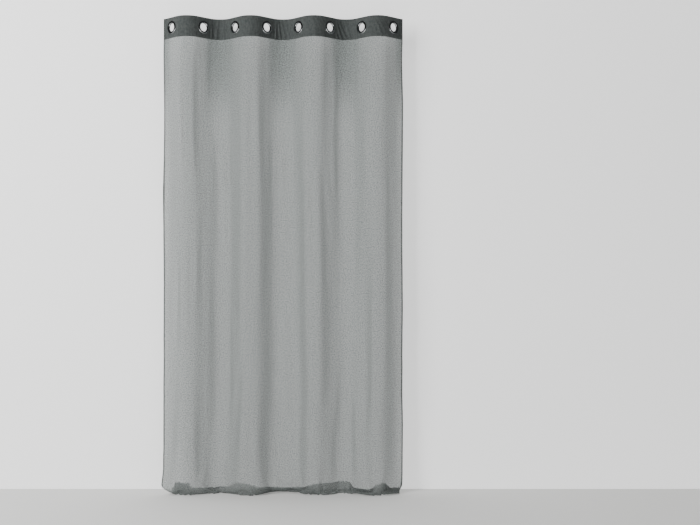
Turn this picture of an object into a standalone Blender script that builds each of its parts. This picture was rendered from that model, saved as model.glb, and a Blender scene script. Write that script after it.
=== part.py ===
"""Eyelet curtain panel: a sheer voile drop under a stiffened header band with eight two-part eyelets.

Metres, +Z up, +X along the pole, -Y into the room. The origin is on the line through the eyelet
centres, half way along the panel. The cloth hangs in one wave that passes through every eyelet, and
it is cut at the wave's crests into stations, one to an eyelet, that fold like a concertina.
"""

import math

import bmesh
import bpy
from mathutils import Vector

# Driving dimensions
EYELETS = 8
PANEL_WIDTH = 1.40  # flat cloth, hem to hem
HUNG_DROP = 2.336  # top edge to floor
SIDE_MARGIN = 0.060  # outer eyelet's centre to the panel's side edge, along the cloth
SLOPE = math.radians(42)  # how far an eyelet's flat of cloth is turned from the pole's line
SPREAD = math.radians(5)  # how far it turns back when the curtain is pulled out

HEADER_HEIGHT = 0.102
EYELET_DROP = 0.050  # header's top edge to an eyelet's centre
HEADER_LAYER = 0.0007
BUCKRAM = 0.0010
BUCKRAM_HEIGHT = 0.082
VOILE = 0.0008
VOILE_TUCK = 0.014  # how far the voile reaches up into the header
BOTTOM_HEM = 0.060
BOTTOM_HEM_THICK = 0.0020
SIDE_HEM = 0.012
SIDE_HEM_THICK = 0.0016

BORE_RADIUS = 0.020
BARREL_WALL = 0.0012
FLANGE_RADIUS = 0.031
FLANGE_RISE = 0.0030
FLANGE_EDGE = 0.0010
BACK_RISE = 0.0024
BARREL_PROUD = 0.0002  # the barrel's end past the back ring's crown

GAP = 0.0003  # between pieces that touch
FLAT_MARGIN = 0.004  # cloth held flat past the flange
SWING_MARGIN = 0.003  # cloth past the flange that turns with the first eyelet
OVERRUN = 0.004  # how far a cutter runs past what it cuts
WELD = 0.00001
ARC_STEPS = 4
RING_STEPS = 20
CROWN_STEPS = 4

# Fitted dimensions
CLOTH_PITCH = (PANEL_WIDTH - 2 * SIDE_MARGIN) / (EYELETS - 1)
HALF_FLAT = FLANGE_RADIUS + FLAT_MARGIN
ARC_LENGTH = CLOTH_PITCH / 2 - HALF_FLAT
ARC_RADIUS = ARC_LENGTH / SLOPE
HALF_PITCH = HALF_FLAT * math.cos(SLOPE) + ARC_RADIUS * math.sin(SLOPE)
CREST = HALF_FLAT * math.sin(SLOPE) + ARC_RADIUS * (1 - math.cos(SLOPE))
SLOT = BUCKRAM + 2 * GAP
HEADER_THICK = SLOT + 2 * HEADER_LAYER
HEADER_TOP = EYELET_DROP
HEADER_BOTTOM = HEADER_TOP - HEADER_HEIGHT
FLOOR = HEADER_TOP - HUNG_DROP
HEM_TOP = FLOOR + BOTTOM_HEM
BUCKRAM_TOP = HEADER_TOP - HEADER_LAYER - GAP
BUCKRAM_BOTTOM = BUCKRAM_TOP - BUCKRAM_HEIGHT
VOILE_TOP = min(HEADER_BOTTOM + VOILE_TUCK, BUCKRAM_BOTTOM - GAP)
BARREL_RADIUS = BORE_RADIUS + BARREL_WALL
FIT_RADIUS = BARREL_RADIUS + GAP
FACE = HEADER_THICK / 2 + GAP  # where a flange starts, from the header's middle
MITRE = math.tan(SPREAD + math.radians(1))
SWING_END = FLANGE_RADIUS + SWING_MARGIN  # how far the first station reaches past its eyelet
SWING_START = math.hypot(SWING_END, HEADER_THICK / 2) + GAP

COLOURS = {
    "header": (0.075, 0.088, 0.086),
    "voile": (0.34, 0.36, 0.36),
    "hem": (0.20, 0.215, 0.215),
    "buckram": (0.70, 0.69, 0.66),
    "chrome": (0.80, 0.81, 0.82),
}


def clear_scene():
    for thing in list(bpy.data.objects):
        bpy.data.objects.remove(thing, do_unlink=True)


def new_collection(name):
    made = bpy.data.collections.new(name)
    bpy.context.scene.collection.children.link(made)
    return made


def new_material(name, roughness, metallic):
    made = bpy.data.materials.new(name)
    made.use_nodes = True
    shader = made.node_tree.nodes["Principled BSDF"]
    shader.inputs["Base Color"].default_value = (*COLOURS[name], 1)
    shader.inputs["Roughness"].default_value = roughness
    shader.inputs["Metallic"].default_value = metallic
    return made


def side_of(station):
    """+1 where the cloth runs from the room side back to the wall side, and -1 where it comes forward."""
    return 1 if station % 2 == 0 else -1


def eyelet_x(station):
    return (2 * station - EYELETS - 1) * HALF_PITCH


def crest_y(crest):
    """Where the cloth's middle passes crest number crest, right of eyelet number crest."""
    return side_of(crest) * CREST


def hinge_of(station):
    """The vertical line that a station turns about: its own eyelet's for the first, and for the others
    the header's inner face at the crest on its left, so that closing folds the cloth on itself."""
    if station == 1:
        return Vector((eyelet_x(1), 0, 0))
    crest = station - 1
    inner = crest_y(crest) - side_of(crest) * HEADER_THICK / 2
    return Vector((eyelet_x(crest) + HALF_PITCH, inner, 0))


def path_point(station, s, offset=0.0):
    """The point s along the cloth from the eyelet's centre and offset from its middle towards +Y."""
    side = side_of(station)
    along = abs(s)
    forward = math.copysign(1, s)
    if along <= HALF_FLAT:
        heading = SLOPE
        x = along * math.cos(SLOPE)
        y = along * math.sin(SLOPE)
    else:
        heading = SLOPE - (along - HALF_FLAT) / ARC_RADIUS
        x = HALF_FLAT * math.cos(SLOPE) + ARC_RADIUS * (math.sin(SLOPE) - math.sin(heading))
        y = HALF_FLAT * math.sin(SLOPE) + ARC_RADIUS * (math.cos(heading) - math.cos(SLOPE))
    normal = Vector((-side * math.sin(heading), math.cos(heading), 0))
    centre = Vector((eyelet_x(station) + forward * x, side * forward * y, 0))
    return centre + offset * normal


def stops(start, end):
    """Distances along the cloth from start to end, with one at each end of the flat and of an arc step."""
    marks = [start, end]
    for step in range(ARC_STEPS + 1):
        mark = HALF_FLAT + ARC_LENGTH * step / ARC_STEPS
        marks += [m for m in (-mark, mark) if start + GAP < m < end - GAP]
    return sorted(marks)


def mitred(point, station, end):
    """A crest end's point drawn back from the crest, more so away from the hinge, as a mitre joint is."""
    crest = station if end > 0 else station - 1
    hinge_y = crest_y(crest) - side_of(crest) * HEADER_THICK / 2
    depth = abs(point.y - hinge_y)
    point.x = eyelet_x(station) + end * (HALF_PITCH - GAP / 2 - depth * MITRE)
    return point


def ribbon_outline(station, start, end, thick):
    """The plan of a cloth of this thickness along the wave, as a closed list of points."""
    half_pitch = CLOTH_PITCH / 2
    faces = []
    for offset in (-thick / 2, thick / 2):
        face = []
        for s in stops(start, end):
            point = path_point(station, s, offset)
            if s in (start, end) and abs(half_pitch - abs(s)) < GAP:
                point = mitred(point, station, math.copysign(1, s))
            face.append(point)
        faces.append(face)
    return faces[0] + faces[1][::-1]


def as_mesh(curve_object, name):
    """The curve object's solid as a mesh object, with its caps welded to its sides."""
    graph = bpy.context.evaluated_depsgraph_get()
    mesh = bpy.data.meshes.new_from_object(curve_object.evaluated_get(graph))
    work = bmesh.new()
    work.from_mesh(mesh)
    bmesh.ops.remove_doubles(work, verts=work.verts, dist=WELD)
    bmesh.ops.recalc_face_normals(work, faces=work.faces)
    work.to_mesh(mesh)
    work.free()
    made = bpy.data.objects.new(name, mesh)
    made.matrix_world = curve_object.matrix_world
    bpy.data.objects.remove(curve_object, do_unlink=True)
    return made


def ribbon(name, station, start, end, thick, bottom, top):
    """A strip of cloth that stands on edge and follows the wave, from bottom to top."""
    origin = hinge_of(station)
    outline = ribbon_outline(station, start, end, thick)
    curve = bpy.data.curves.new(name, "CURVE")
    curve.dimensions = "2D"
    curve.fill_mode = "BOTH"
    curve.extrude = (top - bottom) / 2
    spline = curve.splines.new("POLY")
    spline.points.add(len(outline) - 1)
    for spot, point in zip(spline.points, outline):
        spot.co = (*(point - origin), 1)
    spline.use_cyclic_u = True
    drawn = bpy.data.objects.new(name + "_outline", curve)
    drawn.location = origin + Vector((0, 0, (bottom + top) / 2))
    bpy.context.scene.collection.objects.link(drawn)
    bpy.context.view_layer.update()
    return as_mesh(drawn, name)


def place(thing, material, station=None):
    """Puts a piece in the panel's collection, under its station's empty where it moves."""
    thing.data.materials.clear()
    thing.data.materials.append(materials[material])
    panel.objects.link(thing)
    if station:
        hold(thing, pivots[station])
    return thing


def hold(thing, pivot):
    thing.parent = pivot
    thing.matrix_parent_inverse = pivot.matrix_world.inverted()


def cut(thing, cutter):
    cutters.objects.link(cutter)
    cutter.hide_render = True
    cutter.display_type = "WIRE"
    change = thing.modifiers.new("Cut " + cutter.name, "BOOLEAN")
    change.operation = "DIFFERENCE"
    change.solver = "MANIFOLD"  # the exact solver leaves slits in these thin walls at some sizes
    change.object = cutter


def eyelet_turn(station):
    """The rotation that lays a turned profile's axis square to the cloth at an eyelet, facing the room."""
    return (math.radians(90), 0, side_of(station) * SLOPE)


def punch(thing, station):
    """The round hole that the eyelet's barrel passes through."""
    bpy.ops.mesh.primitive_cylinder_add(
        vertices=RING_STEPS,
        radius=FIT_RADIUS,
        depth=HEADER_THICK + 2 * OVERRUN,
        location=(eyelet_x(station), 0, 0),
        rotation=eyelet_turn(station),
    )
    cutter = bpy.context.object
    cutter.name = "punch_" + thing.name
    for holder in list(cutter.users_collection):
        holder.objects.unlink(cutter)
    cut(thing, cutter)


def turned(name, station, profile):
    """A ring turned about the eyelet's axis from (radius, height towards the room) points."""
    mesh = bpy.data.meshes.new(name)
    edges = [(i, (i + 1) % len(profile)) for i in range(len(profile))]
    mesh.from_pydata([(radius, 0, height) for radius, height in profile], edges, [])
    made = bpy.data.objects.new(name, mesh)
    made.location = (eyelet_x(station), 0, 0)
    made.rotation_euler = eyelet_turn(station)
    screw = made.modifiers.new("Turn", "SCREW")
    screw.axis = "Z"
    screw.steps = RING_STEPS
    screw.render_steps = RING_STEPS
    screw.use_merge_vertices = True
    screw.merge_threshold = WELD
    screw.use_normal_calculate = True
    return made


def flange_profile(inner, rise, lift):
    """A flange's section: its outer edge, then a half-ellipse over its crown down to its bore side."""
    middle = (inner + FLANGE_RADIUS) / 2
    half = (FLANGE_RADIUS - inner) / 2
    crown = rise - FLANGE_EDGE
    points = [(FLANGE_RADIUS, lift)]
    for step in range(CROWN_STEPS + 1):
        turn = math.pi * step / CROWN_STEPS
        points.append((middle + half * math.cos(turn), lift + FLANGE_EDGE + crown * math.sin(turn)))
    return points


def eyelet(station):
    """The front ring, whose barrel goes through the header, and the back ring clinched on the barrel."""
    barrel_end = -(FACE + BACK_RISE + BARREL_PROUD)
    front = flange_profile(BORE_RADIUS, FLANGE_RISE, FACE)
    front += [(BORE_RADIUS, barrel_end), (BARREL_RADIUS, barrel_end), (BARREL_RADIUS, FACE)]
    place(turned(f"eyelet_{station}_front_ring", station, front), "chrome", station)
    back = [(radius, -height) for radius, height in flange_profile(FIT_RADIUS, BACK_RISE, FACE)]
    back.append((FIT_RADIUS, -FACE))
    place(turned(f"eyelet_{station}_back_ring", station, back[::-1]), "chrome", station)


def header(name, station, start, end, close_left=False, close_right=False):
    """The header cloth: one band folded over at the top, open below and along its length."""
    band = ribbon(name, station, start, end, HEADER_THICK, HEADER_BOTTOM, HEADER_TOP)
    left = start + HEADER_LAYER if close_left else start - OVERRUN
    right = end - HEADER_LAYER if close_right else end + OVERRUN
    fold = HEADER_TOP - HEADER_LAYER
    slot = ribbon("slot_" + name, station, left, right, SLOT, HEADER_BOTTOM - OVERRUN, fold)
    cut(band, slot)
    return band


def buckram(name, station, start, end):
    """The stiff tape inside the header's fold."""
    return ribbon(name, station, start, end, BUCKRAM, BUCKRAM_BOTTOM, BUCKRAM_TOP)


def station_span(station):
    """Where a station's cloth starts and ends, side hems included."""
    half = CLOTH_PITCH / 2
    start = -SWING_END if station == 1 else -half
    end = SIDE_MARGIN if station == EYELETS else half
    return start, end


def build_station(station):
    start, end = station_span(station)
    last = station == EYELETS
    band = place(header(f"header_{station}", station, start, end, close_right=last), "header", station)
    punch(band, station)
    tape_end = end - HEADER_LAYER - GAP if last else end
    tape = place(buckram(f"buckram_{station}", station, start, tape_end), "buckram", station)
    punch(tape, station)
    eyelet(station)
    cloth_end = end - SIDE_HEM - GAP if last else end
    voile_span = (start, cloth_end, VOILE, HEM_TOP + GAP, VOILE_TOP)
    place(ribbon(f"voile_{station}", station, *voile_span), "voile", station)
    hem_span = (start, end, BOTTOM_HEM_THICK, FLOOR, HEM_TOP)
    place(ribbon(f"bottom_hem_{station}", station, *hem_span), "hem", station)
    if last:
        edge = (end - SIDE_HEM, end, SIDE_HEM_THICK, HEM_TOP + GAP, HEADER_BOTTOM - GAP)
        place(ribbon("right_side_hem", station, *edge), "hem", station)


def build_left_edge():
    """The strip left of the first eyelet, which stays at the wall while the stations fold."""
    left, right = -SIDE_MARGIN, -SWING_START
    place(header("left_header_end", 1, left, right, close_left=True), "header")
    place(buckram("left_buckram_end", 1, left + HEADER_LAYER + GAP, right), "buckram")
    cloth = (left + SIDE_HEM + GAP, right, VOILE, HEM_TOP + GAP, VOILE_TOP)
    place(ribbon("left_edge_voile", 1, *cloth), "voile")
    edge = (left, left + SIDE_HEM, SIDE_HEM_THICK, HEM_TOP + GAP, HEADER_BOTTOM - GAP)
    place(ribbon("left_side_hem", 1, *edge), "hem")
    hem = (left, right, BOTTOM_HEM_THICK, FLOOR, HEM_TOP)
    place(ribbon("left_bottom_hem", 1, *hem), "hem")


def add_pivots():
    """One empty on each station's hinge line, each under the one before it."""
    made = {}
    for station in range(1, EYELETS + 1):
        pivot = bpy.data.objects.new(f"pivot_{station}", None)
        pivot.location = hinge_of(station)
        panel.objects.link(pivot)
        bpy.context.view_layer.update()
        if station > 1:
            hold(pivot, made[station - 1])
        made[station] = pivot
    bpy.context.view_layer.update()
    return made


clear_scene()
panel = new_collection("curtain_panel")
cutters = new_collection("cutters")
cutters.hide_render = True
materials = {
    "header": new_material("header", 0.90, 0.0),
    "voile": new_material("voile", 0.85, 0.0),
    "hem": new_material("hem", 0.88, 0.0),
    "buckram": new_material("buckram", 0.80, 0.0),
    "chrome": new_material("chrome", 0.10, 1.0),
}
pivots = add_pivots()
build_left_edge()
for number in range(1, EYELETS + 1):
    build_station(number)
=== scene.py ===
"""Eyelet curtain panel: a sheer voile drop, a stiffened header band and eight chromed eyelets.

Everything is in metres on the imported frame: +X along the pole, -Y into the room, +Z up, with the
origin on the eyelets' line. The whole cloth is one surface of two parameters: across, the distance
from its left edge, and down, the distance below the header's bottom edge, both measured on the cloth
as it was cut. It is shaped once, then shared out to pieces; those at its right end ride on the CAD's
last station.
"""
import math

import bmesh
import bpy
import numpy as np
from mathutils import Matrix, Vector


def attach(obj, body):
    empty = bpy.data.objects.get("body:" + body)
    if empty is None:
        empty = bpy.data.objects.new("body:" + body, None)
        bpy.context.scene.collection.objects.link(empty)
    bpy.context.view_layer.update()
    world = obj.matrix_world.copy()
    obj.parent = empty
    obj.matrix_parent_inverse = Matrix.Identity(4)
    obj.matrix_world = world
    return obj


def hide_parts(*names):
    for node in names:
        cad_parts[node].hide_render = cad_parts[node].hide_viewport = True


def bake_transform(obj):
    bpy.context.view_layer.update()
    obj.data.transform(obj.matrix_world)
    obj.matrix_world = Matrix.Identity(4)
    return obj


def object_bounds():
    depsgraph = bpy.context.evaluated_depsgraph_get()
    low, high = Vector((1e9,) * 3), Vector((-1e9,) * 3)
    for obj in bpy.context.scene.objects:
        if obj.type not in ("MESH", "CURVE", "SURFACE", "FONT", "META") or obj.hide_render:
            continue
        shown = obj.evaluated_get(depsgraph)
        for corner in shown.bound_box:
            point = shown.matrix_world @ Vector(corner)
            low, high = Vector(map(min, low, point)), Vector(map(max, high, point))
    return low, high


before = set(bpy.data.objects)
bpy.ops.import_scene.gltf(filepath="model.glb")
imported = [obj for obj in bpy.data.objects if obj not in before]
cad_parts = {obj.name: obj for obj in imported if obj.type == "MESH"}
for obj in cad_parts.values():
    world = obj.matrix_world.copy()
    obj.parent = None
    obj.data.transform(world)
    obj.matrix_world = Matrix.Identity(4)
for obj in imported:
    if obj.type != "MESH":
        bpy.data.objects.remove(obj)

cad_low, cad_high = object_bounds()

# The panel as it was cut and sewn
EYELETS = 8
PANEL_WIDTH = 1.40
PANEL_LENGTH = 2.40  # finished, so the last 64 mm lie folded under on the floor
SIDE_MARGIN = 0.060  # outer eyelet's centre to the side edge, along the cloth
CLOTH_PITCH = (PANEL_WIDTH - 2 * SIDE_MARGIN) / (EYELETS - 1)
SLOPE = math.radians(42)  # how far an eyelet's flat of cloth is turned from the pole's line
HALF_FLAT = 0.035
HEADER_TOP = cad_high.z
HEADER_HEIGHT = 0.102
HEADER_BOTTOM = HEADER_TOP - HEADER_HEIGHT
HEADER_HALF = 0.0015
HEADER_SEAM_UP = 0.005  # the seam's height above the header's bottom edge
FLOOR = cad_low.z
STAGE_FLOOR = FLOOR - 0.001  # the floor's paint, a hair below the hem
DROP_LENGTH = PANEL_LENGTH - HEADER_HEIGHT
TUCK = 0.010  # how far the voile reaches up into the header
BOTTOM_HEM = 0.060
HEM_HALF = 0.0007
SIDE_HEM_HALF = 0.0006
DEEPEST = 0.055  # furthest that the cloth stands from the eyelets' line

BORE = 0.020
BARREL = 0.0212
HOLE = 0.0215
FLANGE = 0.031
FLANGE_FACE = 0.0018  # where a flange starts, from the cloth's middle
FRONT_RISE = 0.0030
BACK_RISE = 0.0024
PLATE = 0.033  # half of the flat square round an eyelet, which never bends

# Sewing: 3 mm stitches in 0.6 mm thread, a little fatter than life so that they show
STITCH_PITCH = 0.0036
STITCH_HALF = 0.0015
THREAD_HALF = 0.0003
BEAD_RINGS, BEAD_SIDES = 4, 6

ARC_RADIUS = (CLOTH_PITCH / 2 - HALF_FLAT) / SLOPE
HALF_PITCH = HALF_FLAT * math.cos(SLOPE) + ARC_RADIUS * math.sin(SLOPE)

EDGE_CELLS, PITCH_CELLS = 5, 18
FINE = 2  # how many parts each simulated cell is cut into for the finished cloth


# ------------------------------------------------------------------ camera, stage and lights

def linear(code, scale=1.0):
    """An sRGB hex colour as linear red, green and blue."""
    parts = np.array([int(code[i : i + 2], 16) for i in (1, 3, 5)]) / 255
    turned = np.where(parts <= 0.04045, parts / 12.92, ((parts + 0.055) / 1.055) ** 2.4)
    return (*(turned * scale), 1.0)


def aim(thing, place, target):
    """Puts a camera or a lamp at a place, turned towards a target."""
    thing.location = place
    thing.rotation_euler = (Vector(target) - Vector(place)).to_track_quat("-Z", "Y").to_euler()
    bpy.context.scene.collection.objects.link(thing)


def make_camera(beside=0.33, away=4.9, height=-1.152, lens=51.43):
    """A level camera square to the panel, standing a little to its right."""
    camera = bpy.data.objects.new("camera", bpy.data.cameras.new("camera"))
    camera.data.lens = lens
    camera.data.clip_end = 60
    aim(camera, (beside, -away, height), (beside, 0, height))
    bpy.context.scene.camera = camera


def soft_light(name, place, target, size, watts, for_chrome=False):
    """A soft box that either lights the cloth or only shows in the chrome."""
    lamp = bpy.data.lights.new(name, "AREA")
    lamp.shape = "RECTANGLE"
    lamp.size, lamp.size_y = size
    lamp.energy = watts
    holder = bpy.data.objects.new(name, lamp)
    holder.visible_glossy = for_chrome
    holder.visible_diffuse = not for_chrome
    holder.visible_camera = False
    aim(holder, place, target)


make_camera()
soft_light("key", (-3.6, -3.4, 0.9), (0, 0, -0.9), (2.0, 2.4), 320)
soft_light("fill", (2.8, -4.6, -0.4), (0, 0, -1.2), (3.0, 3.0), 35)
soft_light("wash", (0.4, -2.0, 2.6), (0.2, 0.1, -1.2), (4.0, 1.2), 50)
soft_light("low_glint", (0, -2.4, -2.2), (0, 0, 0), (3.6, 1.4), 70, for_chrome=True)


# ------------------------------------------------------------------ materials

def node(tree, kind, settings=None, out=0, **links):
    """Adds a node with its settings, fills its sockets and returns one of its outputs. A socket is named,
    or is i and its number, and gets a value or another node's output."""
    made = tree.nodes.new("ShaderNode" + kind)
    for name, value in (settings or {}).items():
        setattr(made, name, value)
    for name, value in links.items():
        key = int(name[1:]) if name[0] == "i" and name[1:].isdigit() else name.replace("_", " ")
        if isinstance(value, bpy.types.NodeSocket):
            tree.links.new(value, made.inputs[key])
        else:
            made.inputs[key].default_value = value
    return made.outputs[out] if made.outputs else None


def new_material(name):
    """An empty material and its node tree."""
    made = bpy.data.materials.new(name)
    made.use_nodes = True
    made.node_tree.nodes.clear()
    return made, made.node_tree


ADD, TIMES, POWER = ({"operation": name} for name in ("ADD", "MULTIPLY", "POWER"))
LESS = {"operation": "SUBTRACT", "use_clamp": True}
RGBA = {"data_type": "RGBA"}
# A noise keeps mostly to the middle of 0 to 1, so each ramp runs between these two values of it.
MIDDLE = {"From_Min": 0.3, "From_Max": 0.7}
CLOTH = {"uv_map": "cloth"}
TURNED_AND_SHADED = {"attribute_name": "turned"}
VOILE_THREADS = 0.003


def threads(tree, place, spacing):
    """Warp and weft as two crossed waves, 0 to 1, with this distance in metres between threads."""
    warp, weft = (
        node(tree, "TexWave", {"bands_direction": direction}, "Fac", Vector=place, Distortion=1.2,
             Detail=1.0, Detail_Scale=1.5, Scale=math.pi / 10 / spacing) for direction in ("X", "Y"))
    return node(tree, "Math", TIMES, i0=node(tree, "Math", ADD, i0=warp, i1=weft), i1=0.5)


def crepe(tree, place, across, down, detail, roughness):
    """Noise on the flat cloth with so many grains to the metre across and down."""
    fine = node(tree, "Mapping", Vector=place, Scale=(across, down, 1.0))
    return node(tree, "TexNoise", Vector=fine, Scale=1.0, Detail=detail, Roughness=roughness)


def gaps(tree, place, crinkle, fewest, most):
    """The share of the voile that is open: it follows the crinkle between these two, and is a hundredth
    more or less along the threads."""
    wide = node(tree, "MapRange", Value=crinkle, To_Min=fewest, To_Max=most, **MIDDLE)
    weave = threads(tree, place, VOILE_THREADS)
    fine = node(tree, "MapRange", Value=weave, To_Min=-0.01, To_Max=0.01, **MIDDLE)
    return node(tree, "Math", ADD, i0=wide, i1=fine)


def blended(tree, first, second, share):
    """Two patterns added, with this share of the second."""
    a = node(tree, "Math", TIMES, i0=first, i1=1 - share)
    b = node(tree, "Math", TIMES, i0=second, i1=share)
    return node(tree, "Math", ADD, i0=a, i1=b)


def dyed(tree, pattern, dark, light):
    """A colour between two shades, following a pattern."""
    share = node(tree, "MapRange", Value=pattern, **MIDDLE)
    return node(tree, "Mix", RGBA, 2, i0=share, i6=linear(dark), i7=linear(light))


def see_through(tree, colour, open_share, bump):
    """Yarn that throws half of its light back and passes half on, with clear gaps between. The gaps close
    by a power as the cloth turns away and lies over itself, and with painted shade, from the attribute
    turned."""
    turned = node(tree, "Attribute", TURNED_AND_SHADED, "Fac")
    alpha = node(tree, "Math", LESS, i0=1.0, i1=node(tree, "Math", POWER, i0=open_share, i1=turned))
    back = node(tree, "BsdfPrincipled", Base_Color=colour, Roughness=0.85, IOR=1.5, Specular_IOR_Level=0.2,
                Sheen_Weight=0.1, Sheen_Roughness=0.5, Normal=bump)
    through = node(tree, "BsdfTranslucent", Color=colour, Normal=bump)
    yarn = node(tree, "MixShader", i0=0.45, i1=back, i2=through)
    clear = node(tree, "BsdfTransparent")
    node(tree, "OutputMaterial", Surface=node(tree, "MixShader", i0=alpha, i1=clear, i2=yarn))


def sheer_voile():
    """Polyester voile, plain woven from fine crimped yarn: see-through where it faces you, and closer and
    greyer where it turns away, with a dry crinkle and no gloss. Its threads are 0.4 mm apart and its
    crinkle 2 mm, drawn at 3 mm and 6 mm so that they show at all."""
    made, tree = new_material("sheer_voile_plain_weave")
    place = node(tree, "UVMap", CLOTH)
    crinkle = crepe(tree, place, 190, 170, 1.5, 0.6)
    slub = crepe(tree, place, 300, 14, 2.0, 0.5)
    colour = dyed(tree, blended(tree, crinkle, slub, 0.15), "#515755", "#979d9b")
    bump = node(tree, "Bump", Height=crinkle, Strength=0.35, Distance=0.0012)
    see_through(tree, colour, gaps(tree, place, crinkle, 0.17, 0.31), bump)
    return made


def folded_voile():
    """The same voile turned over and sewn: each face is two layers, so it is more closed and deeper."""
    made, tree = new_material("folded_voile_hem")
    place = node(tree, "UVMap", CLOTH)
    crinkle = crepe(tree, place, 190, 170, 1.5, 0.6)
    colour = dyed(tree, crinkle, "#5c6260", "#888e8c")
    bump = node(tree, "Bump", Height=crinkle, Strength=0.4, Distance=0.0012)
    see_through(tree, colour, gaps(tree, place, crinkle, 0.50, 0.64), bump)
    return made


def header_fabric():
    """Closely woven polyester, piece-dyed slate grey and fused to its stiffener: opaque and matt, mottled
    where the fusing has puckered it, with a faint sheen. Its threads are 0.5 mm apart, drawn at 2.5 mm."""
    made, tree = new_material("header_polyester_fused")
    place = node(tree, "UVMap", CLOTH)
    mottle = crepe(tree, place, 110, 80, 4.0, 0.62)
    slub = crepe(tree, place, 240, 30, 2.0, 0.5)
    weave = threads(tree, place, 0.0025)
    colour = dyed(tree, blended(tree, mottle, slub, 0.35), "#343837", "#525655")
    height = node(tree, "Math", ADD, i0=node(tree, "Math", TIMES, i0=weave, i1=0.4), i1=mottle)
    bump = node(tree, "Bump", Height=height, Strength=0.7, Distance=0.002)
    shader = node(tree, "BsdfPrincipled", Base_Color=colour, Roughness=0.8, IOR=1.5, Specular_IOR_Level=0.3,
                  Sheen_Weight=0.12, Sheen_Roughness=0.45, Normal=bump)
    node(tree, "OutputMaterial", Surface=shader)
    return made


def spun_thread():
    """Spun polyester sewing thread, a shade darker than the cloth, matt and slightly hairy."""
    made, tree = new_material("spun_polyester_thread")
    place = node(tree, "TexCoord", out="Object")
    hairs = node(tree, "TexNoise", Vector=place, Scale=900.0)
    shader = node(tree, "BsdfPrincipled", Base_Color=dyed(tree, hairs, "#4a4f4d", "#666c69"), Roughness=0.75,
                  Specular_IOR_Level=0.3)
    node(tree, "OutputMaterial", Surface=shader)
    return made


def bright_chrome():
    """Chrome plate on stamped steel, buffed: a near mirror that shows the dark room and the bright floor,
    with a trace of haze and fine handling marks."""
    made, tree = new_material("bright_chrome_plate")
    place = node(tree, "TexCoord", out="Object")
    haze = node(tree, "TexNoise", Vector=place, Scale=140.0, Detail=3.0)
    rough = node(tree, "MapRange", Value=haze, To_Min=0.05, To_Max=0.14, **MIDDLE)
    shader = node(tree, "BsdfPrincipled", Base_Color=dyed(tree, haze, "#c3c5c7", "#dfe1e3"), Metallic=1.0,
                  Roughness=rough)
    node(tree, "OutputMaterial", Surface=shader)
    return made


def studio_paint(name, code, glow=0.0, one_sided=False):
    """Matt paint for the floor or the backdrop, faintly uneven. One-sided paint is clear from behind."""
    made, tree = new_material(name)
    uneven = node(tree, "TexNoise", Vector=node(tree, "TexCoord", out="Object"), Scale=0.7)
    colour = node(tree, "Mix", RGBA, 2, i0=uneven, i6=linear(code, 0.97), i7=linear(code))
    shader = node(tree, "BsdfPrincipled", Base_Color=colour, Roughness=0.9, Specular_IOR_Level=0.1,
                  Emission_Color=linear(code), Emission_Strength=glow)
    if one_sided:
        behind = node(tree, "NewGeometry", out="Backfacing")
        shader = node(tree, "MixShader", i0=behind, i1=shader, i2=node(tree, "BsdfTransparent"))
    node(tree, "OutputMaterial", Surface=shader)
    return made


VOILE, FOLDED, HEADER, THREAD, CHROME = (
    sheer_voile(), folded_voile(), header_fabric(), spun_thread(), bright_chrome())


# ------------------------------------------------------------------ meshes

def grid_faces(rows, columns, wrap=False, first=0):
    """Quads between neighbouring points of a grid; wrap also joins its last row to its first."""
    index = np.arange(rows * columns).reshape(rows, columns) + first
    if wrap:
        index = np.vstack([index, index[:1]])
    return np.stack([index[:-1, :-1], index[1:, :-1], index[1:, 1:], index[:-1, 1:]], -1).reshape(-1, 4)


def new_piece(name, points, faces, materials, cloth=None, smooth=True, attributes=None):
    """A mesh object from points and a list of face arrays. cloth gives each point its place on the flat
    cloth, which becomes the UV map that the patterns follow, and attributes give it other values."""
    mesh = bpy.data.meshes.new(name)
    mesh.from_pydata(points.reshape(-1, 3).tolist(), [], [f.tolist() for group in faces for f in group])
    mesh.polygons.foreach_set("use_smooth", np.full(len(mesh.polygons), smooth))
    for material in materials:
        mesh.materials.append(material)
    if cloth is not None:
        corners = np.zeros(len(mesh.loops), np.int32)
        mesh.loops.foreach_get("vertex_index", corners)
        layer = mesh.uv_layers.new(name="cloth")
        layer.data.foreach_set("uv", cloth.reshape(-1, 2)[corners].astype(np.float32).ravel())
    for key, values in (attributes or {}).items():
        layer = mesh.attributes.new(key, "FLOAT", "POINT")
        layer.data.foreach_set("value", values.astype(np.float32).ravel())
    mesh.update()
    made = bpy.data.objects.new(name, mesh)
    bpy.context.scene.collection.objects.link(made)
    return made


def plane(name, corners, material, in_chrome):
    """A flat of the stage from its four corners, which the chrome shows or not."""
    made = new_piece(name, np.array(corners, float), [np.array([[0, 1, 2, 3]])], [material], smooth=False)
    made.visible_glossy = in_chrome
    return made


WALL = 0.115  # how far the backdrop stands behind the eyelets
ROOM = 9
WALL_HALF, WALL_TOP = 6, 3
plane("floor", [(x * ROOM, y * ROOM, STAGE_FLOOR) for x, y in ((-1, -1), (1, -1), (1, 1), (-1, 1))],
      studio_paint("pale_floor", "#d6d6d4", glow=0.12), in_chrome=True)
plane("backdrop", [(-WALL_HALF, WALL, STAGE_FLOOR), (WALL_HALF, WALL, STAGE_FLOOR),
                   (WALL_HALF, WALL, WALL_TOP), (-WALL_HALF, WALL, WALL_TOP)],
      studio_paint("pale_backdrop", "#f2f2f2", glow=0.75, one_sided=True), in_chrome=False)


def make_world():
    """A room that is dim to mirrors and pale to the eye."""
    world = bpy.data.worlds.new("room")
    world.use_nodes = True
    tree = world.node_tree
    tree.nodes.clear()
    dim = node(tree, "Background", Color=linear("#8d9092"), Strength=0.10)
    pale = node(tree, "Background", Color=linear("#e6e6e6"), Strength=1.2)
    seen = node(tree, "LightPath", out="Is Camera Ray")
    node(tree, "OutputWorld", Surface=node(tree, "MixShader", i0=seen, i1=dim, i2=pale))
    bpy.context.scene.world = world


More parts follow.
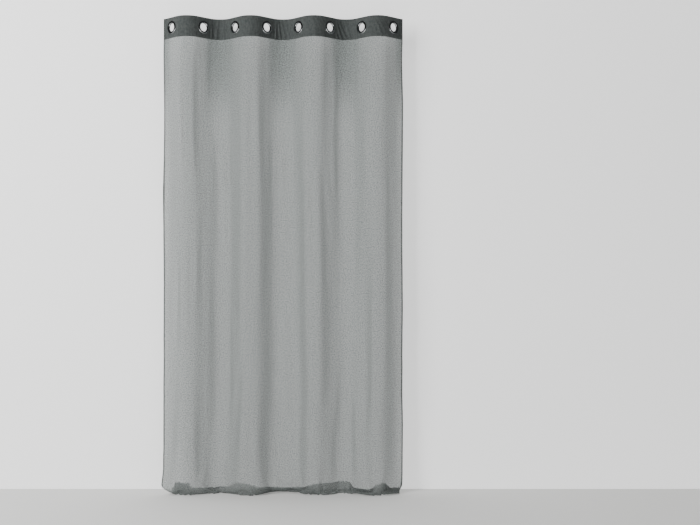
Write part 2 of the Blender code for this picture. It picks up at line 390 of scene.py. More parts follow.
make_world()


# ------------------------------------------------------------------ the cloth's shape

def eyelet_x(number):
    """Where an eyelet's centre is along the pole."""
    return (2 * number - EYELETS - 1) * HALF_PITCH


def station_of(across):
    """Which eyelet's station a place on the cloth belongs to, how far it is from that eyelet, and which
    way the station slants: +1 where it runs back to the wall side, -1 where it comes forward."""
    number = np.clip(np.round((across - SIDE_MARGIN) / CLOTH_PITCH) + 1, 1, EYELETS)
    off = across - SIDE_MARGIN - (number - 1) * CLOTH_PITCH
    return number.astype(int), off, np.where(number % 2 == 0, 1.0, -1.0)


def wave(across, offset=0.0):
    """The header's wave in plan, at this offset from the cloth's middle towards the wall: a straight flat
    through each eyelet, then an arc of constant radius to the crest, as x and y."""
    number, off, side = station_of(across)
    along, forward = np.abs(off), np.sign(off)
    heading = SLOPE - np.clip(along - HALF_FLAT, 0, None) / ARC_RADIUS
    flat = np.minimum(along, HALF_FLAT)
    x = flat * math.cos(SLOPE) + ARC_RADIUS * (math.sin(SLOPE) - np.sin(heading))
    y = flat * math.sin(SLOPE) + ARC_RADIUS * (np.cos(heading) - math.cos(SLOPE))
    x = eyelet_x(number) + forward * x - offset * side * np.sin(heading)
    return x, side * forward * y + offset * np.cos(heading)


def ease(value, start, end):
    """0 before start, 1 after end, and a smooth step between them."""
    t = np.clip((value - start) / (end - start), 0, 1)
    return t * t * (3 - 2 * t)


NOISE_CELLS = 64


def soft_noise(across, down, cell, seed):
    """Smooth noise from -1 to 1: random heights at the corners of cells, eased between. The cells are
    shifted a little, so that none of their corners lies on the cloth's edges."""
    heights = np.random.default_rng(seed).uniform(-1, 1, (NOISE_CELLS, NOISE_CELLS))
    a, d = across / cell[0] + 7.3, down / cell[1] + 5.1
    i, j = np.floor(a).astype(int), np.floor(d).astype(int)
    part_a, part_d = ease(a - i, 0, 1), ease(d - j, 0, 1)

    def corner(after_i, after_j):
        return heights[(i + after_i) % NOISE_CELLS, (j + after_j) % NOISE_CELLS]

    low = corner(0, 0) * (1 - part_a) + corner(1, 0) * part_a
    high = corner(0, 1) * (1 - part_a) + corner(1, 1) * part_a
    return low * (1 - part_d) + high * part_d


# How steep each station's cloth hangs below the header, against the header's own slope: the two middle
# stations hold the deepest fold, and the outer ones are pulled nearly flat.
STEEPNESS = np.array([0.76, 0.82, 0.92, 1.02, 0.98, 0.78, 0.82, 0.88])
# How round each station's slope is: 1 is a plain cosine, and more gathers it nearer the eyelet's line.
ROUNDNESS = np.array([1.0, 1.0, 1.2, 1.8, 1.8, 1.1, 1.0, 1.2])


def heading_at(across, down):
    """How far the cloth is turned from the pole's line at a place on it. At the header it is the wave's
    own, and over the next half metre it eases into each station's hanging slope, a power of a cosine."""
    # The fold that starts 0.80 m across leans 50 mm to the right on its way down, and all wander by 12 mm
    drift = 0.050 * ease(down, 0.3, 2.1) * np.exp(-(((across - 0.80) / 0.09) ** 2))
    drift += 0.012 * soft_noise(across, down, (0.25, 0.5), 3) * ease(down, 0.1, 0.6)
    at = np.clip(across - drift, 0, PANEL_WIDTH)
    number, off, side = station_of(at)
    header = SLOPE * np.clip(1 - (np.abs(off) - HALF_FLAT) / (CLOTH_PITCH / 2 - HALF_FLAT), 0, 1)
    rounded = np.cos(np.clip(off / CLOTH_PITCH, -0.5, 0.5) * math.pi)
    hanging = SLOPE * STEEPNESS[number - 1] * rounded ** ROUNDNESS[number - 1]
    down_share = ease(down, 0.02, 0.55)
    return side * (header * (1 - down_share) + hanging * down_share)


GATHER_SPACING = 0.019
GATHER_TURN, WRINKLE_TURN, UNEVEN_TURN = (math.radians(angle) for angle in (13, 11, 5))


def creases_at(across, down):
    """Small turns of the cloth added to the hanging shape: gathers that run down from the header and die
    out, mostly at the middle and near the right edge, soft slanting wrinkles along both side edges, and a
    slight unevenness everywhere."""
    below = ease(down, 0.0, 0.03) * (1 - ease(down, 0.08, 0.45))
    right = np.exp(-(((across - 1.33) / 0.055) ** 2))
    middle = np.exp(-(((across - 0.665) / 0.045) ** 2))
    gathers = np.sin(across * 2 * math.pi / GATHER_SPACING + 2 * soft_noise(across, down, (0.05, 0.3), 5))
    turn = GATHER_TURN * gathers * below * (right + 0.8 * middle + 0.12)
    edge = np.exp(-(across / 0.10) ** 2) + 1.3 * np.exp(-(((PANEL_WIDTH - across) / 0.09) ** 2))
    slanting = soft_noise(across + 0.12 * down, down, (0.024, 0.16), 11)
    turn += WRINKLE_TURN * slanting * edge * ease(down, 0.05, 0.3)
    turn += UNEVEN_TURN * soft_noise(across, down, (0.045, 0.42), 17) * ease(down, 0.02, 0.3)
    return turn


def hung_cloth(across, down):
    """The hanging surface: x and y are the sums along the cloth of the cosine and sine of its heading, so
    it is never stretched. The slope is scaled at each height, by halving an interval, until the panel is
    as wide as its header."""
    a, d = np.meshgrid(across, down)
    steps = np.diff(across)
    base, creases = heading_at(a, d), creases_at(a, d)
    left, right = wave(np.array([0.0]))[0][0], wave(np.array([PANEL_WIDTH]))[0][0]
    low, high = np.full(len(down), 0.5), np.full(len(down), 1.6)
    halvings = 24
    for _ in range(halvings):
        scale = (low + high) / 2
        heading = base * scale[:, None] + creases
        middle = (heading[:, 1:] + heading[:, :-1]) / 2
        wide = (np.cos(middle) * steps).sum(1)
        low, high = np.where(wide > right - left, scale, low), np.where(wide > right - left, high, scale)
    start = np.zeros((len(down), 1))
    x, y = (np.concatenate([start, np.cumsum(f(middle) * steps, 1)], 1) for f in (np.cos, np.sin))
    x += left
    y -= (y.max(1) + y.min(1))[:, None] / 2
    drop = np.stack([x, y, HEADER_BOTTOM - d], -1)
    pinned = np.stack([*wave(a), HEADER_BOTTOM - d], -1)
    keep = ease(d, 0.0, 0.05)[..., None]
    return pinned * (1 - keep) + drop * keep


EYELET_AT = SIDE_MARGIN + CLOTH_PITCH * np.arange(EYELETS)
ACROSS = np.concatenate(
    [np.linspace(0, SIDE_MARGIN, EDGE_CELLS + 1)[:-1]]
    + [np.linspace(a, a + CLOTH_PITCH, PITCH_CELLS + 1)[:-1] for a in EYELET_AT[:-1]]
    + [np.linspace(EYELET_AT[-1], PANEL_WIDTH, EDGE_CELLS + 1)])
HEM_LINE = DROP_LENGTH - BOTTOM_HEM
HEM_STEPS = np.array([1.5, 3, 5, 9, 15, 23, 32, 41, 50, 60]) / 1000
# The cloth's rows: the tuck and the header's edge, 23 mm apart to 1.5 m down, 10 mm apart to the hem line
# so that the foot can slump, and the hem's own
DOWN = np.concatenate([
    [-TUCK, 0.0], np.linspace(0, 1.5, 65)[1:], np.linspace(1.5, HEM_LINE, 73)[1:], HEM_LINE + HEM_STEPS])
HUNG_ROWS = len(DOWN) - len(HEM_STEPS)
PINNED_ROWS = 3  # the tuck, the header's edge and the row below it


def drape(start, frames=56):
    """Lets the cloth hang and its foot settle on the floor with Blender's Cloth, and gives the points
    back. The rows in the header are pinned, and the floor comes up under the foot, so that the spare
    length slumps as it does when the panel is lowered."""
    rows, columns = start.shape[:2]
    cloth = new_piece("draping", start, [grid_faces(rows, columns)], [])
    pins = cloth.vertex_groups.new(name="pins")
    pins.add(list(range(PINNED_ROWS * columns)), 1.0, "REPLACE")
    low = start[..., 2].min()
    ground = new_piece("ground", np.array([(-2, -2, 0), (2, -2, 0), (2, 2, 0), (-2, 2, 0)], float),
                       [np.array([[0, 1, 2, 3]])], [])
    for time, height in ((1, low - 0.004), (int(frames * 0.6), STAGE_FLOOR)):
        ground.location.z = height
        ground.keyframe_insert("location", frame=time)
    ground.modifiers.new("Collision", "COLLISION")
    ground.collision.thickness_outer = 0.001
    ground.collision.cloth_friction = 30
    # Firm along its threads, limp in bending, and damped enough to come to rest within the frames
    change = cloth.modifiers.new("Cloth", "CLOTH")
    fabric = change.settings
    fabric.quality = 5
    fabric.mass = 0.05
    fabric.tension_stiffness = fabric.compression_stiffness = 15
    fabric.shear_stiffness = 5
    fabric.bending_stiffness = 0.4
    fabric.tension_damping = fabric.compression_damping = fabric.shear_damping = 5
    fabric.bending_damping = 0.5
    fabric.air_damping = 2
    fabric.vertex_group_mass = "pins"
    change.collision_settings.distance_min = 0.0015
    change.collision_settings.use_self_collision = False
    scene = bpy.context.scene
    change.point_cache.frame_start, change.point_cache.frame_end = 1, frames
    scene.frame_start, scene.frame_end = 1, frames
    for time in range(1, frames + 1):
        scene.frame_set(time)
    hung = cloth.evaluated_get(bpy.context.evaluated_depsgraph_get()).to_mesh()
    settled = np.zeros(rows * columns * 3)
    hung.vertices.foreach_get("co", settled)
    for thing in (cloth, ground):
        bpy.data.objects.remove(thing, do_unlink=True)
    scene.frame_set(1)
    return settled.reshape(rows, columns, 3)


def refined(values, parts):
    """A grid cut finer along its rows and columns by Catmull-Rom curves through its points."""
    for axis in (0, 1):
        v = np.moveaxis(values, axis, 0)
        before = np.concatenate([2 * v[:1] - v[1:2], v[:-2]])
        after = np.concatenate([v[2:], 2 * v[-1:] - v[-2:-1]])
        start, end = v[:-1], v[1:]
        rows = []
        for t in np.arange(parts) / parts:
            out = (end - before) / 2, (after - start) / 2
            rows.append(start * (2 * t**3 - 3 * t**2 + 1) + end * (3 * t**2 - 2 * t**3)
                        + out[0] * (t**3 - 2 * t**2 + t) + out[1] * (t**3 - t**2))
        made = np.stack(rows, 1).reshape(-1, *v.shape[1:])
        values = np.moveaxis(np.concatenate([made, v[-1:]]), 0, axis)
    return values


def normals_of(points):
    """Unit normals of a grid, towards the room."""
    normal = np.cross(np.gradient(points, axis=0), np.gradient(points, axis=1))
    return normal / np.linalg.norm(normal, axis=-1, keepdims=True)


ABOVE_FLOOR = 0.0008  # the lowest that the hem's middle lies, so that its underside clears the floor


def kept_in(points):
    """The cloth held within its depth by a tanh curve, so more strongly the further it stands out, and
    above the floor."""
    bend, most = 0.9, 0.96
    y = points[..., 1]
    points[..., 1] = DEEPEST * np.tanh(y / DEEPEST * bend) / math.tanh(bend) * most
    points[..., 2] = np.maximum(points[..., 2], FLOOR + ABOVE_FLOOR)
    return points


def straightened(points):
    """The cloth drawn out sideways so that its two side edges hang plumb under the header's ends: a side
    hem is stiffer than the cloth and carries its own weight. Short ripples in the edges stay."""
    reach = 20
    window = np.hanning(2 * reach + 1) / np.hanning(2 * reach + 1).sum()
    edges = [np.convolve(np.pad(points[:, c, 0], reach, "edge"), window, "valid") for c in (0, -1)]
    left, right = (wave(np.array([a]))[0][0] for a in (0.0, PANEL_WIDTH))
    share = (points[..., 0] - edges[0][:, None]) / (edges[1] - edges[0])[:, None]
    points[..., 0] = left + share * (right - left)
    return points


def closeness_and_trough_shade(normals, flat):
    """How much closer the weave looks than when square to the panel: one over a power of the share of the
    cloth that faces forward, smoothed over its neighbours, and raised by painted shade in the header's
    troughs, which closes and darkens the voile there and fades out 0.42 m below the header."""
    facing = np.clip(np.abs(normals[..., 1]), 0.6, 1)
    for axis in (0, 1):
        facing = (np.roll(facing, 1, axis) + facing + np.roll(facing, -1, axis)) / 3
    across, down = flat[..., 0], flat[..., 1]
    crest = np.cos((across - SIDE_MARGIN - CLOTH_PITCH / 2) / CLOTH_PITCH * math.pi)
    # Painted shade: the voile closed up, so darker, in the header's troughs, fading out 0.42 m below it
    painted_trough_shade = np.clip(-crest, 0, 1) ** 1.5 * (1 - ease(down, 0.0, 0.42))
    return (1 + 1.4 * painted_trough_shade) / facing ** 0.6


# How far the folded-under hem stands up behind the foot, along the cloth: 1 upright, 0 rolled over low
UPRIGHT = np.array([
    (0, 0.1), (0.045, 0.15), (0.075, 1), (0.17, 1), (0.19, 0.35), (0.26, 0.2), (0.385, 0.25), (0.445, 1),
    (0.49, 0.95), (0.6, 0.3), (0.72, 0.0), (0.82, 0.25), (0.93, 0.9), (1.09, 1), (1.12, 0.2), (1.2, 0.1),
    (1.25, 0.8), (1.29, 0.9), (1.33, 0.3), (1.4, 0.2)]).T
# Where along the cloth the foot is lifted off the floor by the folds under it, both in metres
LIFTED = np.array([
    (0, 0), (0.06, 0), (0.11, 0.006), (0.18, 0), (0.58, 0), (0.70, 0.008), (0.80, 0.006), (0.92, 0),
    (1.09, 0), (1.14, 0.006), (1.20, 0.002), (1.25, 0), (1.32, 0.005), (1.4, 0.001)]).T


# The hem's heading in degrees above straight back, as it leaves its fold and at its edge
LOW_FIRST, UPRIGHT_FIRST = 2, 78
LOW_LAST, UPRIGHT_LAST = 225, 87
TURNED_DOWN = 60  # radians less at its first, to the metre of lift


def turned_under(points):
    """The bottom hem added to the hanging cloth, folded back under its foot. In a section square to the
    panel its heading turns in its first 5 mm from straight down to the first heading, less where the foot
    is lifted, and eases from there to the last, and its points are the sums of the cosine and sine."""
    foot = points[-1]
    upright, lifted = (np.interp(ACROSS, *table) for table in (UPRIGHT, LIFTED))
    steps = np.diff(HEM_STEPS, prepend=0)
    middle = (HEM_STEPS - steps / 2)[:, None]
    first = np.radians(LOW_FIRST + (UPRIGHT_FIRST - LOW_FIRST) * upright) - lifted * TURNED_DOWN
    last = np.radians(LOW_LAST + (UPRIGHT_LAST - LOW_LAST) * upright)
    bend = ease(middle, 0, 0.005)
    curl = ease(middle, 0.004, BOTTOM_HEM)
    heading = -math.pi / 2 * (1 - bend) + bend * (first + (last - first) * curl)
    y = foot[:, 1] + np.cumsum(np.cos(heading) * steps[:, None], 0)
    z = foot[:, 2] + np.cumsum(np.sin(heading) * steps[:, None], 0)
    return np.concatenate([points, np.stack([foot[:, 0] + 0 * y, y, z], -1)])


CORNER = 0.045  # how high up the lower corners are tucked in
TUCKED_ALONG = 0.05
LEFT_TUCK, RIGHT_TUCK = 0.038, 0.020
FOOT_FORWARD = 0.016
FOOT_CALMED = 0.30  # the share of its wave that the foot loses
HEM_UNDER = 0.003  # the folded hem under the foot


def foot_laid(points):
    """The foot of the hanging cloth laid for its hem: over its last 300 mm its wave in plan calms and
    comes forward, it is lifted where the hem bunches under it, and its lower corners are tucked in by an
    amount that falls off exponentially from each side edge."""
    down = DOWN[:HUNG_ROWS, None]
    near = ease(down, HEM_LINE - 0.30, HEM_LINE)
    points[..., 1] = points[..., 1] * (1 - FOOT_CALMED * near) - FOOT_FORWARD * near
    points[..., 2] += (np.interp(ACROSS, *LIFTED) + HEM_UNDER) * ease(down, HEM_LINE - 0.10, HEM_LINE)
    tuck = np.clip((down - HEM_LINE + CORNER) / CORNER, 0, 1)
    left = LEFT_TUCK * np.exp(-ACROSS / TUCKED_ALONG)
    right = RIGHT_TUCK * np.exp(-(PANEL_WIDTH - ACROSS) / TUCKED_ALONG)
    points[..., 0] += tuck * (left - right)
    return points


cloth_points = hung_cloth(ACROSS, DOWN[:HUNG_ROWS])
cloth_points = drape(cloth_points)
# 0 in the header and 1 from 60 mm below it, so that the cloth stays sewn where the header holds it
free = ease(DOWN, 0.0, 0.06)[:, None, None]
cloth_points = cloth_points * (1 - free[:HUNG_ROWS]) + straightened(cloth_points.copy()) * free[:HUNG_ROWS]
cloth_points = turned_under(foot_laid(cloth_points))
cloth_points = cloth_points * (1 - free) + kept_in(cloth_points.copy()) * free
cloth_points = refined(cloth_points, FINE)
cloth_normals = normals_of(cloth_points)
flat_place = refined(np.stack(np.meshgrid(ACROSS, DOWN), -1), FINE)
turned_away_and_shaded = closeness_and_trough_shade(cloth_normals, flat_place)


# ------------------------------------------------------------------ the pieces


def fold_with(piece, number):
    """Pieces 0 to 7 only have their transform baked into their points and follow no station; the last
    rides on the last station."""
    if number == EYELETS:
        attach(piece, f"station_{EYELETS}")
    elif number == 0:
        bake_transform(piece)
    else:
        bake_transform(piece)


def columns_of(number):
    """The finished cloth's columns from one eyelet to the next, or to an edge for the first and last."""
    marks = FINE * np.array([0, *(EDGE_CELLS + PITCH_CELLS * np.arange(EYELETS)), len(ACROSS) - 1])
    return slice(marks[number], marks[number + 1] + 1)


HEM_ROW = FINE * (HUNG_ROWS - 1)
ROLLED_EDGE = np.array([0.0, 0.55, 0.9, 1.0])  # a rolled edge's thickness, from its last row inwards
CLOSER_AND_SHADED_WHERE_LIFTED = 220  # how much closer the hem's weave looks, to the metre of lift: partly its bunched layers, partly painted shade of the pockets under the lifted foot


def shell(name, rows, columns, half, edge=True, ends=("left", "right"), closer=1.0):
    """A doubled strip of the cloth: its middle surface pushed out by half its thickness on both faces,
    joined round a folded edge at top and bottom, and closed where the panel ends. Where the strip runs on
    into the next piece it has no wall, because one would show through the cloth. edge thins its last rows
    to a rolled edge, and closer is the power by which its gaps close."""
    middle, normal, flat = (g[rows, columns] for g in (cloth_points, cloth_normals, flat_place))
    thick = np.full(len(middle), 1.0)
    if edge:
        thick[-len(ROLLED_EDGE):] = ROLLED_EDGE[::-1] * 0.75 + 0.25
    push = (half * thick)[:, None, None] * normal
    points = np.concatenate([middle + push, (middle - push)[::-1]])
    cloth = np.concatenate([flat, flat[::-1]])
    # Where the foot is lifted the hem is closed up and darker: partly its bunched layers, partly painted
    # shade under the lift
    turned = 1 + CLOSER_AND_SHADED_WHERE_LIFTED * np.interp(cloth[..., 0], *LIFTED)
    loops = np.arange(len(points) * middle.shape[1]).reshape(len(points), -1)
    faces = [grid_faces(len(points), middle.shape[1], wrap=True)]
    faces += [loops[::-1, 0][None]] * ("left" in ends) + [loops[:, -1][None]] * ("right" in ends)
    return new_piece(name, points, faces, [FOLDED], cloth=cloth, attributes={"turned": turned * closer})


drops, hems = [], []
drop_rows = slice(0, HEM_ROW + 2)
for number in range(EYELETS + 1):
    columns = columns_of(number)
    # The outermost column of the cloth is the side hem's
    part = slice(columns.start + (number == 0), columns.stop - (number == EYELETS))
    points = cloth_points[drop_rows, part]
    drop = new_piece(f"voile_drop_{number}", points, [grid_faces(*points.shape[:2])], [VOILE],
                     cloth=flat_place[drop_rows, part], attributes={"turned": turned_away_and_shaded[drop_rows, part]})
    # Neighbouring lengths share their normals, so that no line shows where they meet
    drop.data.normals_split_custom_set_from_vertices(cloth_normals[drop_rows, part].reshape(-1, 3).tolist())
    fold_with(drop, number)
    hem = shell(f"bottom_hem_cloth_{number}", slice(HEM_ROW, None), columns, HEM_HALF,
                ends=("left",) * (number == 0) + ("right",) * (number == EYELETS))
    fold_with(hem, number)
    drops.append(drop)
    hems.append(hem)

side_rows = slice(FINE, HEM_ROW + 1)
left_hem = shell("side_hem_cloth_left", side_rows, slice(0, 2), SIDE_HEM_HALF, edge=False, closer=3.5)
fold_with(left_hem, 0)
right_hem = shell("side_hem_cloth_right", side_rows, slice(-2, None), SIDE_HEM_HALF, edge=False, closer=3.5)
fold_with(right_hem, EYELETS)
for hem, node_name in ((left_hem, "left_side_hem"), (right_hem, "right_side_hem")):
    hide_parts(node_name)


# The header's section, walked round once: down its front, round the bottom edge, up its back, over the fold
ROUND = np.radians([30, 60, 90, 120, 150])
LINES = 29  # points up each face
STRAIGHT = np.linspace(1, 0, LINES)
SIDE_LINES = 15  # points across the flat square round an eyelet


def section():
    """The header's section as depth from its middle, height, and which face it is on: -1 front, 1 back."""
    top, bottom = HEADER_TOP - HEADER_HALF, HEADER_BOTTOM + HEADER_HALF
    height = bottom + (top - bottom) * STRAIGHT
    face = np.concatenate([-np.ones(LINES), 0 * ROUND, np.ones(LINES), 0 * ROUND])
    depth = np.concatenate([-np.ones(LINES), -np.cos(ROUND), np.ones(LINES), np.cos(ROUND)]) * HEADER_HALF
    bulge = HEADER_HALF * np.sin(ROUND)
    up = np.concatenate([height, bottom - bulge, height[::-1], top + bulge])
    return depth, up, face


# Standing creases in the header: place along the cloth, lean, width and height, in metres
CREASES = [
    (0.287, 0.05, 0.0053, 0.0039), (0.318, -0.10, 0.0063, 0.0044), (0.352, 0.08, 0.0047, 0.0033),
    (0.642, 0.05, 0.0053, 0.0055), (0.662, -0.06, 0.0044, 0.0060), (0.680, 0.10, 0.0047, 0.0055),
    (0.700, 0.22, 0.0053, 0.0049), (0.722, 0.30, 0.0058, 0.0038), (1.005, 0.30, 0.0053, 0.0049),
    (1.024, 0.38, 0.0050, 0.0060), (1.046, 0.45, 0.0058, 0.0052), (1.075, 0.35, 0.0063, 0.0035),
    (0.150, 0.10, 0.0084, 0.0017), (0.520, -0.15, 0.0084, 0.0017), (0.885, 0.12, 0.0079, 0.0014),
    (1.250, 0.45, 0.0047, 0.0038), (1.270, 0.60, 0.0063, 0.0025), (0.035, 0.10, 0.0084, 0.0021),
    (1.385, 0.05, 0.0053, 0.0033)]


# How far the header's edges, back and front follow a crease. A face's number picks its share: 0 the
# edges, 1 the back, and -1 the front, which is the last and moves towards the room.
SHARE_OF_CREASE = np.array([0.0, 0.4, -1.0])


PUCKER = 0.0006  # the shallow unevenness of the fused cloth
FADE = 0.012  # how far from a flat square the creases reach their height


def relief(across, up):
    """How far the header's faces stand out from the plain wave: each crease a bell across, strongest low
    on the band, plus a shallow unevenness, and nothing within the flat squares round the eyelets."""
    _, off, _ = station_of(across)
    height = np.zeros(np.broadcast(across, up).shape)
    for place, lean, width, tall in CREASES:
        away = across - place + lean * (up - HEADER_BOTTOM - 0.05)
        strong = 1 - 0.6 * ease(up, HEADER_BOTTOM + 0.02, HEADER_TOP)
        height += tall * np.exp(-((away / width) ** 2)) * strong
    height += PUCKER * soft_noise(across, up, (0.022, 0.04), 23)
    return height * ease(np.abs(off), PLATE, PLATE + FADE)


def header_band(start, end, taper):
    """A closed length of the header between two places on the cloth: its section carried along the wave,
    and rounded off by a half circle towards the side edge that taper names."""
    spacing = 0.003
    count = max(3, int(round((end - start) / spacing)))
    across = np.linspace(start, end, count + 1)[None]
    depth, up, face = (v[:, None] for v in section())
    thick = 1.0
    if taper is not None:
        thick = np.sqrt(np.clip(1 - (1 - np.clip(np.abs(across - taper) / HEADER_HALF, 0, 1)) ** 2, 0.04, 1))
    out = relief(across, up)
    x, y = wave(across + 0 * up, depth * thick + SHARE_OF_CREASE[face.astype(int)] * out)
    points = np.stack([x, y, up + 0 * x], -1)
    cloth = np.stack([across + 0 * up, HEADER_TOP - up + 0 * across], -1)
    return points, cloth


def plate(number):
    """The flat square round an eyelet with its round hole: lines from the hole's edge out to the square's
    edge on both faces, the hole's wall, and the two folded edges."""
    centre = EYELET_AT[number - 1]
    depth, up, _ = section()
    height = up[:LINES]
    side_steps = np.linspace(-PLATE, PLATE, SIDE_LINES)
    edge = np.concatenate([
        np.stack([np.full(LINES, PLATE), height[::-1]], -1)[:-1],
        np.stack([side_steps[::-1], np.full(SIDE_LINES, height[0])], -1)[:-1],
        np.stack([np.full(LINES, -PLATE), height], -1)[:-1],
        np.stack([side_steps, np.full(SIDE_LINES, height[-1])], -1)[:-1]])
    away = edge / np.linalg.norm(edge, axis=1, keepdims=True)
    rings_out = 8
    share = np.linspace(0, 1, rings_out)[:, None, None]
    flat = away * HOLE * (1 - share) + edge * share
    faces_points = []
    for sign in (-1, 1):
        x, y = wave(centre + flat[..., 0], np.full(flat.shape[:2], sign * HEADER_HALF))
        faces_points.append(np.stack([x, y, flat[..., 1]], -1))
    front, back = faces_points
    rings = np.concatenate([front[::-1], back])
    rings = np.concatenate([rings, rings[:, :1]], 1)
    cloth = np.stack([centre + flat[..., 0], HEADER_TOP - flat[..., 1]], -1)
    cloth = np.concatenate([cloth[::-1], cloth])
    cloth = np.concatenate([cloth, cloth[:, :1]], 1)
    caps = []
    for start in (LINES - 1, 2 * LINES + len(ROUND) - 1):
        rows = np.arange(start, start + len(ROUND) + 2) % len(up)
        across = centre + side_steps[None] + 0 * rows[:, None]
        x, y = wave(across, depth[rows][:, None] + 0 * side_steps[None])
        high = up[rows][:, None] + 0 * x
        caps.append((np.stack([x, y, high], -1), np.stack([across, HEADER_TOP - high], -1)))
    across = centre - PLATE + 0 * up
    x, y = wave(across, depth)
    rim = (np.stack([x, y, up], -1)[:, None], np.stack([across, HEADER_TOP - up], -1)[:, None])
    return [(rings, cloth, ()), *((grid, flat, ()) for grid, flat in caps), (*rim, ("left",))]


def seam(name, runs):
    """A lock-stitched seam: beads of four six-sided rings, laid end to end along each run of points and
    half sunk in the face that the run's normals rise from."""
    turn = np.arange(BEAD_SIDES) * 2 * math.pi / BEAD_SIDES
    along = (np.array([-1.0, -0.6, 0.6, 1.0]) * STITCH_HALF)[None, :, None, None]
    fat = (np.array([0.3, 1.0, 1.0, 0.3]) * THREAD_HALF)[None, :, None, None]
    points, step = [], 0.0004
    for line, normal in runs:
        far = np.concatenate([[0], np.cumsum(np.linalg.norm(np.diff(line, axis=0), axis=1))])
        count = int(far[-1] / STITCH_PITCH)
        at = (np.arange(count) + 0.5) * far[-1] / count
        centre, ahead, out = (
            np.stack([np.interp(at + shift, far, v[:, i]) for i in range(3)], -1)[:, None, None]
            for shift, v in ((0, line), (step, line), (0, normal)))
        ahead = ahead - centre
        ahead = ahead / np.maximum(np.linalg.norm(ahead, axis=-1, keepdims=True), 1e-9)
        side = np.cross(ahead, out)
        ring = np.cos(turn)[:, None] * side + np.sin(turn)[:, None] * out
        points.append((centre + along * ahead + fat * ring).reshape(-1, 3))
    points = np.concatenate(points)
    bead = np.arange(BEAD_RINGS * BEAD_SIDES).reshape(BEAD_RINGS, BEAD_SIDES)
    beside = np.roll(bead, -1, 1)
    quads = np.stack([bead[:-1], beside[:-1], beside[1:], bead[1:]], -1).reshape(-1, 4)
    tips = np.stack([bead[0][::-1], bead[-1]])
    starts = np.arange(0, len(points), bead.size)[:, None, None]
    faces = [(quads + starts).reshape(-1, 4), (tips + starts).reshape(-1, BEAD_SIDES)]
    made = new_piece(name, points, faces, [THREAD])
    weld(made)
    return made


def merged(parts):
    """Several grids as one list of points, cloth places and faces. Each comes with its cloth places,
    whether its last row joins its first, and which of its ends are closed by a face."""
    points, cloth, faces, first = [], [], [], 0
    for grid, flat, wrap, ends in parts:
        rows, columns = grid.shape[:2]
        faces.append(grid_faces(rows, columns, wrap=wrap, first=first))
        loops = np.arange(rows * columns).reshape(rows, columns) + first
        if "left" in ends:
            faces.append(loops[::-1, 0][None])
        if "right" in ends:
            faces.append(loops[:, -1][None])
        points.append(grid.reshape(-1, 3))
        cloth.append(flat.reshape(-1, 2))
        first += rows * columns
    return np.concatenate(points), np.concatenate(cloth), faces


def weld(piece):
    """Joins a piece's doubled points and turns its faces outwards."""
    work = bmesh.new()
    work.from_mesh(piece.data)
    bmesh.ops.remove_doubles(work, verts=work.verts, dist=0.00002)
    bmesh.ops.recalc_face_normals(work, faces=work.faces)
    work.to_mesh(piece.data)
    work.free()


def header_seam(number, start, end):
    """The seam that holds the header's turning to the voile, 5 mm above its bottom edge, on both faces."""
    step = 0.001
    across = np.linspace(start + step, end - step, max(8, int((end - start) / step)))
    up = HEADER_BOTTOM + HEADER_SEAM_UP
    runs = []
    for sign in (-1, 1):
        depth = sign * HEADER_HALF + SHARE_OF_CREASE[sign] * relief(across, up)
        x, y = wave(across, depth)
        out_x, out_y = wave(across, depth + sign * step)
        normal = np.stack([out_x - x, out_y - y, 0 * x], -1) / step
        runs.append((np.stack([x, y, up + 0 * x], -1), normal))
    made = seam(f"header_seam_{number}", runs)
    fold_with(made, number)


def cloth_seam(name, rows, columns, half, number):
    """A seam along a row or a column of the finished cloth, on both faces of its hem."""
    line, normal = (g[rows, columns].reshape(-1, 3) for g in (cloth_points, cloth_normals))
    made = seam(name, [(line + half * normal, normal), (line - half * normal, -normal)])
    fold_with(made, number)


for number in range(EYELETS + 1):
    cloth_seam(f"hem_seam_{number}", HEM_ROW + 1, columns_of(number), HEM_HALF, number)
cloth_seam("side_seam_left", side_rows, 1, SIDE_HEM_HALF, 0)
cloth_seam("side_seam_right", side_rows, -2, SIDE_HEM_HALF, EYELETS)

TAPERED = {0: 0.0, EYELETS: PANEL_WIDTH}  # the two header lengths that end at a side edge, and where
for number in range(EYELETS + 1):
    start = EYELET_AT[number - 1] + PLATE if number else 0.0
    end = EYELET_AT[number] - PLATE if number < EYELETS else PANEL_WIDTH
    band, flat = header_band(start, end, TAPERED.get(number))
    parts = [(band, flat, True, ("right",) if number else ("left", "right"))]
    if number:
        parts += [(grid, place, False, ends) for grid, place, ends in plate(number)]
    points, cloth, faces = merged(parts)
    header = new_piece(f"header_cloth_{number}", points, faces, [HEADER], cloth=cloth)
    weld(header)
    fold_with(header, number)
    # The seam also crosses the flat square at this length's left
    header_seam(number, start - 2 * PLATE if number else start, end)


# ------------------------------------------------------------------ the eyelets

RING_LINES = 96


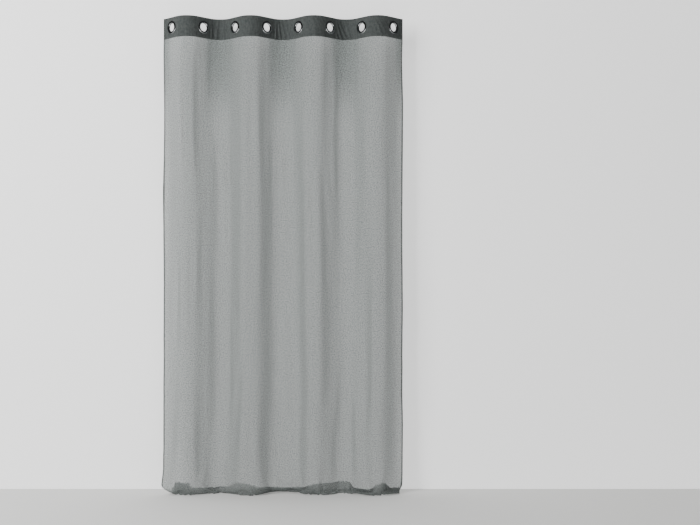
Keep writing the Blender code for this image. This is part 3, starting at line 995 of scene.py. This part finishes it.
def turned_ring(name, number, profile):
    """A ring turned about the eyelet's axis from a closed profile of radius and height towards the room."""
    turn = np.linspace(0, 2 * math.pi, RING_LINES + 1)[None]
    radius, height = profile[:, :1], profile[:, 1:]
    out, up = radius * np.cos(turn), radius * np.sin(turn)
    heading = SLOPE if number % 2 == 0 else -SLOPE
    x = eyelet_x(number) + out * math.cos(heading) + height * math.sin(heading)
    y = out * math.sin(heading) - height * math.cos(heading)
    grid = np.stack([x, y, up + 0 * x], -1)
    made = new_piece(name, grid, [grid_faces(len(profile), RING_LINES + 1, wrap=True)], [CHROME])
    weld(made)
    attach(made, f"station_{number}")
    return made


ROLLED = 0.0006  # the short upright wall of a flange's rolled edge
LIP = 0.0004  # the rounding of the barrel's crimped end


def crown(inner, rise, steps=16):
    """A flange's section: a short rolled edge, then a full round over its crown, from outside in."""
    middle, half = (inner + FLANGE) / 2, (FLANGE - inner) / 2
    t = np.linspace(0, math.pi, steps)
    height = FLANGE_FACE + ROLLED + (rise - ROLLED) * np.sin(t) ** 0.85
    return np.stack([middle + half * np.cos(t), height], -1)


BARREL_END = -(FLANGE_FACE + BACK_RISE + LIP / 2)
front_profile = np.concatenate([
    [(FLANGE, FLANGE_FACE)], crown(BORE, FRONT_RISE),
    [(BORE, 0.0), (BORE, BARREL_END + LIP), (BORE + LIP, BARREL_END), (BARREL, BARREL_END + LIP / 2),
     (BARREL, FLANGE_FACE)]])
back_profile = np.concatenate([
    [(FLANGE, -FLANGE_FACE)], crown(HOLE, BACK_RISE) * (1, -1), [(HOLE, -FLANGE_FACE)]])[::-1]

for number in range(1, EYELETS + 1):
    pair = [turned_ring(f"front_eyelet_{number}", number, front_profile),
            turned_ring(f"back_eyelet_{number}", number, back_profile)]
    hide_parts(f"eyelet_{number}_front_ring")
    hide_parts(f"eyelet_{number}_back_ring")


# ------------------------------------------------------------------ the CAD parts that the new pieces stand in for, hidden

for number in range(EYELETS + 1):
    if number == 0:
        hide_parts("left_header_end", "left_buckram_end")
        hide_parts("left_edge_voile")
        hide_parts("left_bottom_hem")
    else:
        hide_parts(f"header_{number}", f"buckram_{number}")
        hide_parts(f"voile_{number}")
        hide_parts(f"bottom_hem_{number}")
    span = flat_place[0, columns_of(number), 0]
